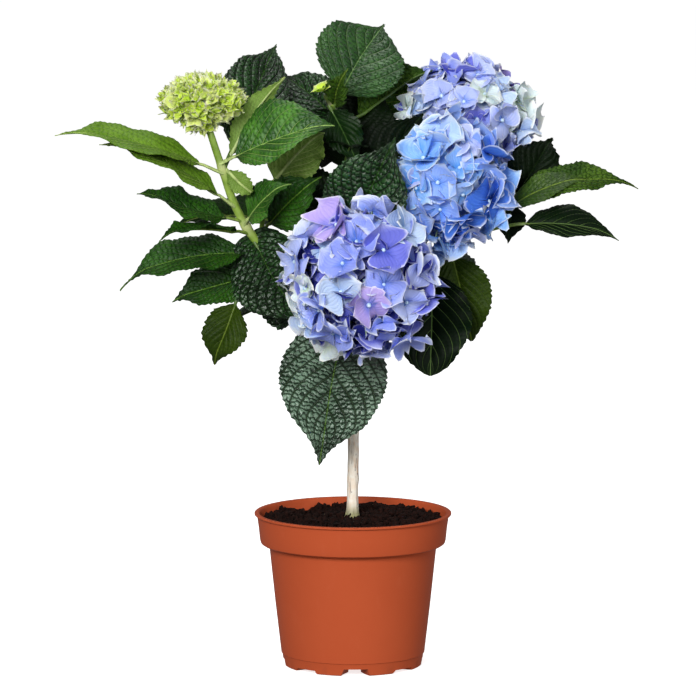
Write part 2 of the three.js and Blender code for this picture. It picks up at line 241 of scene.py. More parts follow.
def leaf_finish(
    name, tones, rung, gloss, depth, shine, lines, count=3.2, quilt=0.4, wander=1.7, valley=-0.02
):
    """A quilted leaf blade: arching side veins, a ladder of cross veins and a pale midrib."""
    finish = Finish(name)
    *blades, vein = [paint(*tone) for tone in tones]
    along, aside, half = finish.parts("lay")
    run, out, _ = finish.parts("run")
    side = abs(aside)
    drift = finish.noise(60, 2) - 0.5
    phase = (along - side * VEIN_SWEEP - side ** 3 * VEIN_HOOK) * VEIN_PAIRS + drift * 0.14
    off_vein = abs(phase - phase.nearest())
    side_vein = 1 - off_vein.between(0.012, 0.055)
    midrib = 1 - (side * half).between(0.035, 0.11 + along * -0.04)
    wobble = finish.noise(190, 3) - 0.5
    ladder = (run + abs(out) * 0.3) * count + (phase + 0.5).floor() * 0.37 + wobble * wander
    rungs = abs((ladder * math.pi).sine())
    cell = rungs ** 0.65 * off_vein.between(valley, 0.17)
    fine = finish.noise(900, 3, 0.6)
    cloud = finish.noise(42, 3)
    stops = [(i / (len(blades) - 1), c) for i, c in enumerate(blades)]
    # The puffed cells take the lighter tones by quilt, and their creases darken to the darkest tone
    # by rung: a painted highlight on the cell tops and a painted shade in the creases, over the
    # blade's own cloudy tones.
    body = finish.ramp((cloud.between(0.25, 0.75) * (1 - quilt) + cell * quilt).held(), stops)
    shaded = finish.blend((1 - cell.between(0.1, 0.6)) * rung * 0.6, body, blades[0])
    veined = finish.blend(side_vein * lines, shaded, vein)
    colour = finish.blend(midrib * 0.85, veined, vein)
    relief = cell * rung + fine * 0.1 - side_vein * 0.3 - midrib * 0.3
    roughness = gloss + fine * 0.12 + side_vein * 0.1
    return finish.surface(colour, roughness, relief, depth, shine=shine)


def rib_finish(name, colour):
    """Leaf stalks and the rib that stands proud under each blade."""
    finish = Finish(name)
    streak = finish.noise(500, 3, stretch=(1, 1, 0.4))
    shaded = paint(*[0.82 * c for c in colour])
    tone = finish.blend(streak.between(0.35, 0.7), shaded, paint(*colour))
    return finish.surface(tone, 0.4 + streak * 0.1, streak, 0.0001)


def sepal_finish(name, heart, body, margin, strength=1.0):
    """A sepal: deeper at the heart, with fine fanning veins, a pale margin and a painted highlight
    whitening its very edge.
    """
    finish = Finish(name)
    across, along, drift = finish.parts("fan")
    side = abs(across)
    fan = abs((across * 17 + along * 1.2).sine())
    cloud = finish.noise(110, 2)
    depth = (along + side * 0.06 + (cloud - 0.5) * 0.4 + drift * 0.1).held()
    tone = finish.ramp(depth, [(0.0, heart), (0.36, body), (0.72, body), (1.0, margin)])
    edge = side ** 3 * 0.9 + along ** 6 * 0.5 + (cloud - 0.5) * 0.35
    # The rim whitens the pale margin further towards white: a painted highlight along the sepal's
    # edge.
    painted_rim_highlight = edge.between(0.55, 0.95)
    tone_with_painted_rim = finish.blend(painted_rim_highlight * 0.85 * strength, tone, mixed(margin, paint(252, 253, 255), 0.6))
    colour = finish.blend((1 - fan.between(0.0, 0.3)) * 0.14 * (1 - painted_rim_highlight), tone_with_painted_rim, heart)
    glow = {"subsurface_weight": 0.2, "subsurface_radius": (0.6, 0.7, 1.0), "subsurface_scale": 0.002}
    relief = fan * 0.5 + cloud * 0.3
    return finish.surface(colour, 0.5 + cloud * 0.12, relief, 0.0004, shine=0.18, **glow)


def plain_finish(name, colour, second, scale, roughness):
    finish = Finish(name)
    cloud = finish.noise(scale, 3)
    tone = finish.blend(cloud.between(0.3, 0.7), paint(*colour), paint(*second))
    return finish.surface(tone, roughness + cloud * 0.1, cloud, 0.0001)


# ---- Making meshes ----


def deselect():
    bpy.ops.object.select_all(action="DESELECT")


def pick_only(piece, *others):
    deselect()
    for chosen in (piece, *others):
        chosen.select_set(True)
    bpy.context.view_layer.objects.active = piece


def read(items, name, width=1, kind=np.int32):
    """One row of values for each item of a mesh."""
    values = np.empty(len(items) * width, kind)
    items.foreach_get(name, values)
    return values.reshape(-1, width) if width > 1 else values


def points_of(piece):
    return read(piece.data.vertices, "co", 3, float)


def taken_apart(piece):
    """The places and faces of a piece, which is then removed."""
    places = points_of(piece)
    faces = np.array([p.vertices for p in piece.data.polygons])
    bpy.data.objects.remove(piece)
    return places, faces


def rise(value, start, span):
    """From nothing at the start to one a span later."""
    return np.clip((value - start) / span, 0, 1)


def modify(piece, kind, **settings):
    """Adds a modifier, sets it and applies it."""
    pick_only(piece)
    modifier = piece.modifiers.new(kind.lower(), kind)
    for key, value in settings.items():
        setattr(modifier, key, value)
    bpy.ops.object.modifier_apply(modifier=modifier.name)


def edit(piece, *steps):
    """Runs edit-mode operators on the whole of a piece."""
    pick_only(piece)
    bpy.ops.object.mode_set(mode="EDIT")
    bpy.ops.mesh.select_all(action="SELECT")
    for step, settings in steps:
        step(**settings)
    bpy.ops.object.mode_set(mode="OBJECT")


def sheet_of(name, columns, rows, shape):
    """A grid laid out by shape, which turns shares across and along into places."""
    deselect()
    bpy.ops.mesh.primitive_grid_add(x_subdivisions=columns, y_subdivisions=rows, size=1)
    piece = bpy.context.object
    piece.name = name
    flat = points_of(piece) + 0.5
    piece.data.vertices.foreach_set("co", shape(flat[:, 0], flat[:, 1]).ravel())
    piece.data.update()
    return piece


def rolled(name, sides, steps, shape):
    """A grid rolled up round its line and closed: shape takes an angle and a share."""
    piece = sheet_of(name, sides, steps, lambda across, along: shape(across * 2 * math.pi, along))
    edit(
        piece,
        (bpy.ops.mesh.remove_doubles, {"threshold": 0.00002}),
        (bpy.ops.mesh.fill_holes, {"sides": 0}),
        (bpy.ops.mesh.normals_make_consistent, {"inside": False}),
    )
    return piece


def smooth(piece, degrees):
    pick_only(piece)
    bpy.ops.object.shade_smooth_by_angle(angle=math.radians(degrees))


def from_arrays(name, places, faces):
    """A joined mesh from arrays of places and arrays of equal-sided faces."""
    places, faces = np.concatenate(places), np.concatenate(faces)
    mesh = bpy.data.meshes.new(name)
    corners = faces.shape[1]
    mesh.vertices.add(len(places))
    mesh.vertices.foreach_set("co", np.asarray(places, np.float32).ravel())
    mesh.loops.add(faces.size)
    mesh.loops.foreach_set("vertex_index", faces.astype(np.int32).ravel())
    mesh.polygons.add(len(faces))
    mesh.polygons.foreach_set("loop_start", np.arange(0, faces.size, corners, dtype=np.int32))
    mesh.update(calc_edges=True)
    piece = bpy.data.objects.new(name, mesh)
    bpy.context.scene.collection.objects.link(piece)
    return piece


def set_points(piece, name, values):
    """Stores one vector for each point of a piece."""
    layer = piece.data.attributes.new(name, "FLOAT_VECTOR", "POINT")
    layer.data.foreach_set("vector", np.asarray(values, np.float32).ravel())


def dress(piece, *materials):
    piece.data.materials.clear()
    for material in materials:
        piece.data.materials.append(material)


def settle(piece, slot, *nodes):
    """The piece rides on the plant's one body and stands for its CAD nodes."""
    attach(piece, "root")
    if nodes:
        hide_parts(*nodes)


def complete(piece, degrees, material, slot, *nodes):
    smooth(piece, degrees)
    dress(piece, material)
    settle(piece, slot, *nodes)


def unit(vectors):
    return vectors / np.maximum(np.linalg.norm(vectors, axis=-1, keepdims=True), 1e-12)


def seed_of(name):
    return np.random.default_rng(zlib.crc32(name.encode()))


def node_mesh(name):
    """A CAD node's places and triangles, its loose corners merged."""
    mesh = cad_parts[name].data
    mesh.calc_loop_triangles()
    corners = read(mesh.loop_triangles, "vertices", 3)
    places = read(mesh.vertices, "co", 3, float).round(7)
    kept, index = np.unique(places, axis=0, return_inverse=True)
    return kept, index.reshape(-1)[corners]


def skin_of(name):
    """A node's triangles, and each one's normal, twice as long as its area."""
    places, faces = node_mesh(name)
    corners = places[faces]
    return corners, np.cross(corners[:, 1] - corners[:, 0], corners[:, 2] - corners[:, 0])


def hilly(places, spans):
    """A smooth seeded hill field: one value for each place, from sums of slanted waves."""
    total = np.zeros(len(places))
    rng = np.random.default_rng(7)
    for span in spans:
        for _ in range(4):
            way = unit(rng.normal(size=3))
            total += np.sin(places @ way * 2 * math.pi / span + rng.uniform(0, 6.3)) * span
    return total / (sum(spans) * 2)


# ---- Pot ----

POT_SIDES = 128
NOTCHES = 8
NOTCH_TURN = math.radians(2.5)
NOTCH_WIDTH = 22.5 * MM
NOTCH_HEIGHT = 5 * MM
SMALL_NOTCH_HEIGHT = 2.4 * MM
NOTCH_SIDES_MEET = 22.6 * MM
NOTCH_LEAN = 0.21
FOOT_RADIUS = 50.4 * MM
CUTTER_PLACE = 42 * MM
CUTTER_DEPTH = 24 * MM

# Radius and height round the wall, from the middle of the foot, up outside, down inside.
POT_WALL = [
    (0, 5), (13, 5), (34, 5), (34, 0.4), (34.4, 0), (48.7, 0), (49.4, 0.5), (50.4, 8),
    (50.6, 8.6), (51.2, 9), (55.4, 45), (59.5, 84), (59.9, 86.2), (64.4, 87.2), (65.7, 88.1),
    (66.3, 90.2), (67.2, 99), (68.4, 107.5), (68.8, 107.9), (69.8, 108), (70.2, 108.4),
    (70.2, 109.2), (69.8, 109.6), (67.2, 109.6), (66.8, 109.2), (66.4, 107.5), (64.5, 92.4),
    (63.2, 90.4), (58.8, 87.6), (57.9, 85.8), (53.6, 46), (49.4, 7), (0, 7),
]


def pot():
    wall = np.array(POT_WALL) * MM
    steps = np.linspace(0, 1, len(wall))

    def shape(angle, share):
        radius = np.interp(share, steps, wall[:, 0])
        height = np.interp(share, steps, wall[:, 1])
        return np.stack([radius * np.cos(angle), radius * np.sin(angle), height], 1)

    piece = rolled("pot_shell", POT_SIDES, len(wall) - 1, shape)
    cutters = []
    for i in range(NOTCHES):
        turn = NOTCH_TURN + i * 2 * math.pi / NOTCHES
        deselect()
        place = (CUTTER_PLACE * math.cos(turn), CUTTER_PLACE * math.sin(turn), 0)
        bpy.ops.mesh.primitive_cube_add(size=1, location=place, rotation=(0, 0, turn))
        cutter = bpy.context.object
        tall = SMALL_NOTCH_HEIGHT if i % 2 else NOTCH_HEIGHT
        cutter.scale = (CUTTER_DEPTH, NOTCH_WIDTH, 2 * tall)
        bpy.ops.object.transform_apply(location=True, rotation=True, scale=True)
        out = Vector((math.cos(turn), math.sin(turn), 0))
        way = Vector((-math.sin(turn), math.cos(turn), 0))
        for vertex in cutter.data.vertices:
            narrow = (vertex.co.dot(out) - NOTCH_SIDES_MEET) / (FOOT_RADIUS - NOTCH_SIDES_MEET)
            narrow *= 1 - NOTCH_LEAN * vertex.co.z / tall
            vertex.co += way * (vertex.co.dot(way) * (narrow - 1))
        cutters.append(cutter)
    pick_only(*cutters)
    bpy.ops.object.join()
    cutter = bpy.context.object
    modify(piece, "BOOLEAN", operation="DIFFERENCE", object=cutter, solver="EXACT")
    bpy.data.objects.remove(cutter)
    complete(piece, 32, pot_finish(), "pot", "pot")


# ---- Compost ----

SOIL_RADIUS = 65.2 * MM
SOIL_FLOOR = 94 * MM
SOIL_LEVEL = 104.2 * MM
SOIL_CROWN = 1.4 * MM
SOIL_HILLS = [26 * MM, 11 * MM, 5 * MM]
HILL_HEIGHT = 2.6 * MM
DIP_DEPTH = 4.2 * MM
SLOPE_DROP = 1.6 * MM
HOLLOW_DEPTH = 1.5 * MM
BED_SIDES = 150
BED_STEPS = 66
BED_EDGE = 0.94
GRIT = 0.35 * MM
CRUMBS = 3000


def soil_height(x, y):
    """The top of the compost: crowned, with a dip, a slope and a hollow round the stem."""
    crown = SOIL_LEVEL + SOIL_CROWN * (1 - (np.hypot(x, y) / SOIL_RADIUS) ** 2)
    dip = ((x + 30 * MM) / (15 * MM)) ** 2 + ((y - 34 * MM) / (30 * MM)) ** 2
    hollow = (x**2 + y**2) / (12 * MM) ** 2
    sunk = DIP_DEPTH * np.exp(-dip) + SLOPE_DROP * rise(x / MM, 35, 30)
    sunk += HOLLOW_DEPTH * np.exp(-hollow)
    flat = np.stack([x, y, np.zeros_like(x)], 1)
    return crown - sunk + hilly(flat, SOIL_HILLS) * HILL_HEIGHT


def compost():
    def shape(angle, share):
        radius = rise(share, 0, BED_EDGE) * SOIL_RADIUS * (1 - 0.02 * (share > 0.97))
        x, y = radius * np.cos(angle), radius * np.sin(angle)
        grit = seed_of("grit").normal(size=len(x)) * GRIT * (share < BED_EDGE)
        top = soil_height(x, y) + grit * (share > 0.03)
        return np.stack([x, y, np.where(share > 0.95, SOIL_FLOOR, top)], 1)

    piece = rolled("compost_bed", BED_SIDES, BED_STEPS, shape)
    complete(piece, 80, compost_finish(), "compost", "compost")

    rng = seed_of("crumbs")
    deselect()
    bpy.ops.mesh.primitive_ico_sphere_add(subdivisions=1, radius=1)
    lump, faces = taken_apart(bpy.context.object)
    places = []
    for _ in range(CRUMBS):
        reach = SOIL_RADIUS * 0.97 * math.sqrt(rng.uniform())
        turn = rng.uniform(0, 2 * math.pi)
        x, y = np.array([reach * math.cos(turn)]), np.array([reach * math.sin(turn)])
        size = MM * (0.5 + 2.7 * rng.uniform() ** 3.2)
        body = lump * rng.uniform(0.55, 1.35, size=(len(lump), 1)) * rng.uniform(0.5, 1.2, 3)
        places.append(body * size + np.array([x[0], y[0], soil_height(x, y)[0] + size * 0.35]))
    sides = [faces + i * len(lump) for i in range(CRUMBS)]
    crumbs = from_arrays("compost_crumbs", places, sides)
    complete(crumbs, 60, compost_finish("compost_crumb"), "compost")


# ---- Stem and boughs ----

FORK = (0, 0, 236)
STEM_FOOT = 101.6
STEM_RADIUS = 4.0
STEM_NODES = (0.23, 0.52, 0.78)
FLARE = 2.1
FLARE_FOOT = 104.6
FLARE_FADE = 3.4
FORK_SWELL = 0.9

# Each bough's line from its foot, in millimetres, its radius at foot and tip, and the shares
# of its length where it has a swollen node.
BOUGHS = {
    "left_bough": (
        [FORK, (-30, -12, 268), (-71, -20, 310), (-84, -22, 334), (-91, -24, 355),
         (-101, -26, 386)],
        (3.9, 2.4), (0.4, 0.6, 0.84),
    ),
    "front_bough": ([FORK, (2, -22, 250), (3, -45, 268), (3, -62, 280)], (2.8, 2.3), (0.5,)),
    "blue_bough": ([FORK, (22, -4, 264), (46, -8, 298), (62, -12, 326)], (3.0, 2.4), (0.5,)),
    "lilac_bough": ([FORK, (14, 16, 272), (42, 38, 322), (68, 52, 362)], (3.0, 2.4), (0.35, 0.7)),
    "top_bough": (
        [FORK, (-4, 8, 282), (-7, 14, 332), (-6, 12, 380), (-20, -4, 408)],
        (3.2, 1.5), (0.5, 0.72, 0.93),
    ),
    "back_bough": (
        [FORK, (-14, 26, 272), (-32, 56, 316), (-42, 78, 352)],
        (3.0, 1.8), (0.3, 0.6, 0.93),
    ),
    "right_bough": (
        [FORK, (30, 3, 266), (60, 3, 298), (80, 2, 309), (94, 2, 310), (106, 5, 322), (113, 8, 334)],
        (2.8, 1.6), (0.5, 0.78, 0.96),
    ),
    "side_shoot": (
        [(-46, -13, 284), (-58, -8, 298), (-64, -8, 306), (-60, -12, 341)],
        (2.2, 1.5), (0.55, 0.95),
    ),
}
BOUGH_STEPS = 90
STEADY = np.array([0.31, 0.87, 0.11])


def between_knots(first, last, start, end, at):
    return (first * (end - at) + last * (at - start)) / (end - start)


def smooth_line(points, count):
    """Evenly spaced places on the smooth curve through the points, in metres."""
    points = np.array(points, float) * MM
    points = np.vstack([2 * points[0] - points[1], points, 2 * points[-1] - points[-2]])
    spans = np.linalg.norm(np.diff(points, axis=0), axis=1) ** 0.5
    knots = np.concatenate([[0], np.cumsum(spans)])
    found = [points[1]]
    for i in range(len(points) - 3):
        p, k = points[i : i + 4], knots[i : i + 4]
        for t in np.linspace(k[1], k[2], 25)[1:]:
            low = [between_knots(p[j], p[j + 1], k[j], k[j + 1], t) for j in range(3)]
            mid = [between_knots(low[j], low[j + 1], k[j], k[j + 2], t) for j in range(2)]
            found.append(between_knots(mid[0], mid[1], k[1], k[2], t))
    found = np.array(found)
    run = np.concatenate([[0], np.cumsum(np.linalg.norm(np.diff(found, axis=0), axis=1))])
    even = np.linspace(0, run[-1], count)
    return np.stack([np.interp(even, run, found[:, k]) for k in range(3)], 1)


def frames_along(line):
    """Two steady directions across a line at each of its places."""
    heading = unit(np.gradient(line, axis=0))
    first = unit(np.cross(heading, STEADY))
    return first, np.cross(heading, first)


def limb(name, line, radius, relief, sides=20):
    """A round limb on its line: radius takes shares of its length, relief angles and shares."""
    steps = len(line) - 1
    first, second = frames_along(line)
    cap = np.linspace(0, 1, steps + 1)

    def shape(angle, share):
        at = np.clip((share * steps).round().astype(int), 0, steps)
        girth = radius(cap[at]) * (1 + relief(angle, cap[at]))
        girth = np.where((at == 0) | (at == steps), girth * 0.6, girth)
        ring = first[at] * np.cos(angle)[:, None] + second[at] * np.sin(angle)[:, None]
        return line[at] + ring * girth[:, None]

    return rolled(name, sides, steps, shape)


def swelling(share, nodes, width=0.018):
    return sum(np.exp(-(((share - n) / width) ** 2)) for n in nodes)


def stem():
    top = FORK[2] + 3
    heights = np.linspace(STEM_FOOT, top, 120)
    sway = [0.35 * np.sin(heights * 0.045), 0.25 * np.sin(heights * 0.06 + 1)]
    line = np.stack([*sway, heights], 1) * MM

    def radius(share):
        height = STEM_FOOT + share * (top - STEM_FOOT)
        flare = FLARE * np.exp(-np.maximum(height - FLARE_FOOT, 0) / FLARE_FADE)
        crown = FORK_SWELL * np.exp(-(((height - FORK[2]) / 7) ** 2))
        return (STEM_RADIUS + flare + crown) * MM

    def relief(angle, share):
        ridges = 0.03 * np.sin(5 * angle + 3 * np.sin(share * 5))
        ridges += 0.025 * np.sin(9 * angle - 4 * np.sin(share * 9 + 1))
        flutes = 0.12 * np.sin(4 * angle + 0.7) * np.exp(-share * 16)
        knots = 0.06 * swelling(share, STEM_NODES) * (1 + np.sin(2 * angle))
        return ridges + flutes + knots + 0.02 * np.sin(share * 47 + angle)

    piece = limb("woody_stem", line, radius, relief, 32)
    complete(piece, 60, bark_finish(), "bark", "stem")


def boughs():
    green = shoot_finish("green_shoot", paint(104, 136, 38), paint(152, 180, 74))
    shaded = shoot_finish("shaded_shoot", paint(40, 58, 12), paint(70, 90, 28))
    for name, (points, (foot, tip), nodes) in BOUGHS.items():
        line = smooth_line(points, BOUGH_STEPS)
        turn = seed_of(name).uniform(0, 6)

        def radius(share):
            return (foot + (tip - foot) * share) * MM * (1 + 0.22 * swelling(share, nodes))

        def relief(angle, share):
            oval = 0.035 * np.sin(2 * angle + turn + share * 4)
            return oval + 0.02 * np.sin(5 * angle - share * 7)

        piece = limb(name + "_rind", line, radius, relief)
        gaps = ((points_of(piece)[:, None] - line[None]) ** 2).sum(2)
        nearest = gaps.argmin(1) / (len(line) - 1)
        near_node = swelling(nearest, nodes, 0.026)
        set_points(piece, "node", np.stack([near_node, nearest, nearest], 1))
        finish = shaded if name in ("top_bough", "back_bough") else green
        complete(piece, 60, finish, "shoot", name)


# ---- Leaves ----

LEAF_COLUMNS = 36
LEAF_ROWS = 92
VEIN_PAIRS = 7.0
VEIN_SWEEP = 0.42
VEIN_HOOK = 0.14
BLADE_THICKNESS = 0.45 * MM
TOOTH_SPACING = 3.9 * MM
TOOTH_DEPTH = 1.6 * MM
TOOTH_LEAN = 0.72
STALK_RADIUS = 1.35 * MM
RIB_SIDES = 8
RIB_STEPS = 26
QUILT_RISE = 1.7 * MM
MIDRIB_DIP = 0.9 * MM
EDGE_WAVE = 2.0 * MM
EDGE_CRIMP = 0.7 * MM
TIP_DROOP = 5 * MM
SIDE_DRIFT = 1.6 * MM


def limb_tree():
    """Everything that a leaf can grow from, for finding the nearest of it."""
    places, faces, count = [], [], 0
    for name in list(BOUGHS) + ["stem"]:
        p, f = node_mesh(name)
        places += p.tolist()
        faces += (f + count).tolist()
        count += len(p)
    return BVHTree.FromPolygons(places, faces)


def leaf_set(name, limbs):
    """A leaf node's root, way along, way across, face, reach, arch, fold, spread and stalk."""
    places = node_mesh(name)[0]
    corners, normals = skin_of(name)
    gaps = ((places[:, None] - places[None]) ** 2).sum(2)
    one, other = np.unravel_index(gaps.argmax(), gaps.shape)
    ends = [places[one], places[other]]
    ends.sort(key=lambda p: limbs.find_nearest(Vector(p))[3])
    root, tip = ends
    reach = np.linalg.norm(tip - root)
    along = (tip - root) / reach
    centres = corners.mean(1)
    areas = np.linalg.norm(normals, axis=1)
    share = np.clip((centres - root) @ along / reach, 0, 1)
    lateral = (centres - root) - ((centres - root) @ along)[:, None] * along
    base = unit(np.cross(along, [0.0, 0.0, 1.0]))
    best = None
    for degrees in range(0, 360, 2):
        turn = math.radians(degrees)
        across = base * math.cos(turn) + np.cross(along, base) * math.sin(turn)
        face = np.cross(across, along)
        x, z = lateral @ across, lateral @ face
        guess = np.stack([4 * share * (1 - share), np.abs(x)], 1) * areas[:, None]
        fit, _, _, _ = np.linalg.lstsq(guess, z * areas, rcond=None)
        miss = ((guess @ fit - z * areas) ** 2).sum()
        if fit[1] > 0 and (best is None or miss < best[0]):
            best = (miss, across, face, fit[0], fit[1])
    _, across, face, arch, fold = best
    offset = places - root
    x, t = np.abs(offset @ across), offset @ along / reach
    spread = x.max()
    stalk = np.clip((t[x > 3.2 * MM].min() - 0.1) / 0.9, 0.03, 0.5)
    return root, along, across, face, reach, arch, fold, spread, stalk


def outline(share, point=0.5, blunt=0.85, early=0.8):
    """Half the blade's width at a share of its length, drawn out to a drip tip by point."""
    share = np.clip(share, 0, 1)
    tip = rise(share, 0.66, 0.34)
    return np.sin(math.pi * share**early) ** blunt * (1 - point * tip * tip * (3 - 2 * tip) * 0.9)


def pillow(share, aside):
    """How far the blade is puffed up between its side veins."""
    phase = (share - VEIN_SWEEP * aside - VEIN_HOOK * aside**3) * VEIN_PAIRS
    off = np.abs(phase - np.round(phase)) * 2
    return (1 - (1 - off) ** 2) ** 0.7


def leaf(
    name, limbs, skins, puff=1.0, wave=1.0, teeth=1.0, droop=1.0, slim=1.0, lobes=0.0, **edge_shape
):
    """A blade set as its node is, with its stalk and the rib under it."""
    root, along, across, face, reach, arch, fold, spread, stalk = leaf_set(name, limbs)
    spread *= slim
    rng = seed_of(name)
    sway = rng.uniform(-1, 1, 6)
    bend = rng.uniform(0, 6.28, 6)
    blade = reach * (1 - stalk)
    count = max(8, round(blade / TOOTH_SPACING))

    def spine(t):
        """The midline at a share of the whole reach."""
        lift = arch * 4 * t * (1 - t) - droop * TIP_DROOP * rise(t, 0.78, 0.22) ** 2
        drift = SIDE_DRIFT * sway[0] * np.sin(math.pi * t) ** 2
        return root + np.stack([reach * t, lift, drift], 1) @ np.array([along, face, across])

    def toothed(u, aside, edge):
        """How far the margin stands out in a tooth or in between two."""
        phase = (u * count + (aside > 0) * 0.5) % 1
        saw = np.where(phase < TOOTH_LEAN, phase / TOOTH_LEAN, (1 - phase) / (1 - TOOTH_LEAN))
        fade = rise(u, 0, 0.08) * np.clip((1 - u) / 0.05, 0, 1)
        uneven = 0.8 + 0.45 * np.sin(np.floor(u * count) * 2.4 + bend[4] + (aside > 0) * 1.7)
        return teeth * TOOTH_DEPTH * uneven * (saw - 0.6) * rise(edge, 0.72, 0.28) ** 2 * fade

    def waved(u, aside, edge, half):
        """The waves of the margin, long and short."""
        long = 2 * math.pi * (2.2 + 0.6 * sway[1]) * u + bend[0] + (aside > 0) * (1.5 + bend[1])
        short = 2 * math.pi * 5.3 * u + bend[2] + (aside > 0) * bend[3]
        swing = EDGE_WAVE * np.sin(long) * edge**2.4 * rise(half, 0, 12 * MM)
        return wave * (swing + EDGE_CRIMP * np.sin(short) * edge**3)

    def shape(v, u):
        aside = v * 2 - 1
        aside = np.sign(aside) * np.abs(aside) ** 1.12
        half = np.maximum(spread * outline(u, **edge_shape), (0.9 - 0.6 * u) * MM)
        edge = np.abs(aside)
        x = aside * half + np.sign(aside) * toothed(u, aside, edge)
        width = np.abs(x)
        calm = 1 - np.exp(-((width / (3.5 * MM)) ** 2))
        quilt = QUILT_RISE * pillow(u, edge) * calm * (1 - edge**5) * rise(half, 0, 14 * MM)
        dip = MIDRIB_DIP * np.exp(-((width / (1.5 * MM)) ** 2)) * np.clip((1 - u) * 3, 0, 1)
        z = fold * width * (1 - 0.3 * edge**2) + puff * (quilt - dip) + waved(u, aside, edge, half)
        twist = 0.16 * sway[2] * (u - 0.5)
        x, z = x * np.cos(twist) - z * np.sin(twist) * 0.3, z + x * np.sin(twist)
        sweep = (0.07 - lobes) * spread * edge**2 * np.exp(-((u / 0.16) ** 2))
        place = spine(stalk + (1 - stalk) * u) + along * sweep[:, None]
        return place + across * x[:, None] + face * z[:, None]

    piece = sheet_of(name + "_blade", LEAF_COLUMNS, LEAF_ROWS, shape)
    corner = read(piece.data.loops, "vertex_index")
    lay = np.zeros((len(piece.data.vertices), 3))
    lay[corner, :2] = read(piece.data.uv_layers[0].data, "uv", 2, float)[:, ::-1] * (1, 2) - (0, 1)
    lay[:, 2] = np.maximum(spread * outline(lay[:, 0], **edge_shape), 0.5 * MM) * 100
    wall = {"thickness": BLADE_THICKNESS, "offset": -1, "use_quality_normals": True}
    modify(piece, "SOLIDIFY", material_offset=1, material_offset_rim=1, **wall)
    blade_points = len(piece.data.vertices)

    def tube(angle, share):
        t = share * 0.97
        u = rise(t, stalk, 1 - stalk)
        petiole = t < stalk
        girth = STALK_RADIUS * np.where(petiole, 1.25 - 0.3 * t / stalk, 0.95 * (1 - 0.8 * u))
        girth = np.where(share > 0.999, girth * 0.3, girth)
        sink = np.where(petiole, 0, girth * 0.55 + BLADE_THICKNESS * 0.6) * rise(u, 0, 0.06)
        sink += puff * MIDRIB_DIP * np.clip((1 - u) * 3, 0, 1) * rise(u, 0, 0.04)
        foot = np.where(share < 0.001, 2.0 * MM, 0)
        middle = spine(t) - face * sink[:, None] - along * foot[:, None]
        ring = across * np.cos(angle)[:, None] + face * (np.sin(angle) * 0.85)[:, None]
        return middle + ring * girth[:, None]

    rib = rolled(name + "_rib", RIB_SIDES, RIB_STEPS, tube)
    dress(piece, *skins)
    dress(rib, skins[2])
    pick_only(piece, rib)
    bpy.ops.object.join()
    fan = np.zeros((len(piece.data.vertices), 3))
    fan[:blade_points] = np.tile(lay, (blade_points // len(lay), 1))
    set_points(piece, "lay", fan)
    run = [fan[:, 0] * blade * 100, fan[:, 1] * fan[:, 2], fan[:, 2]]
    set_points(piece, "run", np.stack(run, 1))
    lay_bake_map(piece, fan)
    smooth(piece, 50)
    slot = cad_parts[name].data.materials[0].name
    settle(piece, slot, name)


def add_bake_map(mesh, across, along):
    layer = mesh.uv_layers.new(name=BAKE_MAP, do_init=False)
    layer.data.foreach_set("uv", np.stack([across, along], 1).astype(np.float32).ravel())


def lay_bake_map(piece, fan):
    """Upper side, under side and rib each get their own strip of the piece's map."""
    mesh = piece.data
    corner = read(mesh.loops, "vertex_index")
    kind = np.repeat(read(mesh.polygons, "material_index"), read(mesh.polygons, "loop_total"))
    places = points_of(piece)
    low, high = places.min(0), places.max(0)
    share = ((places - low) / (high - low))[corner]
    across = 0.01 + (fan[corner, 1] * 0.5 + 0.5) * 0.44 + (kind == 1) * 0.48
    across = np.where(kind == 2, 0.96 + 0.03 * share[:, 0], across)
    along = 0.01 + 0.98 * np.where(kind == 2, share[:, 2], fan[corner, 0])
    add_bake_map(mesh, across, along)
    for other in [m.name for m in mesh.uv_layers if m.name != BAKE_MAP]:
        mesh.uv_layers.remove(mesh.uv_layers[other])


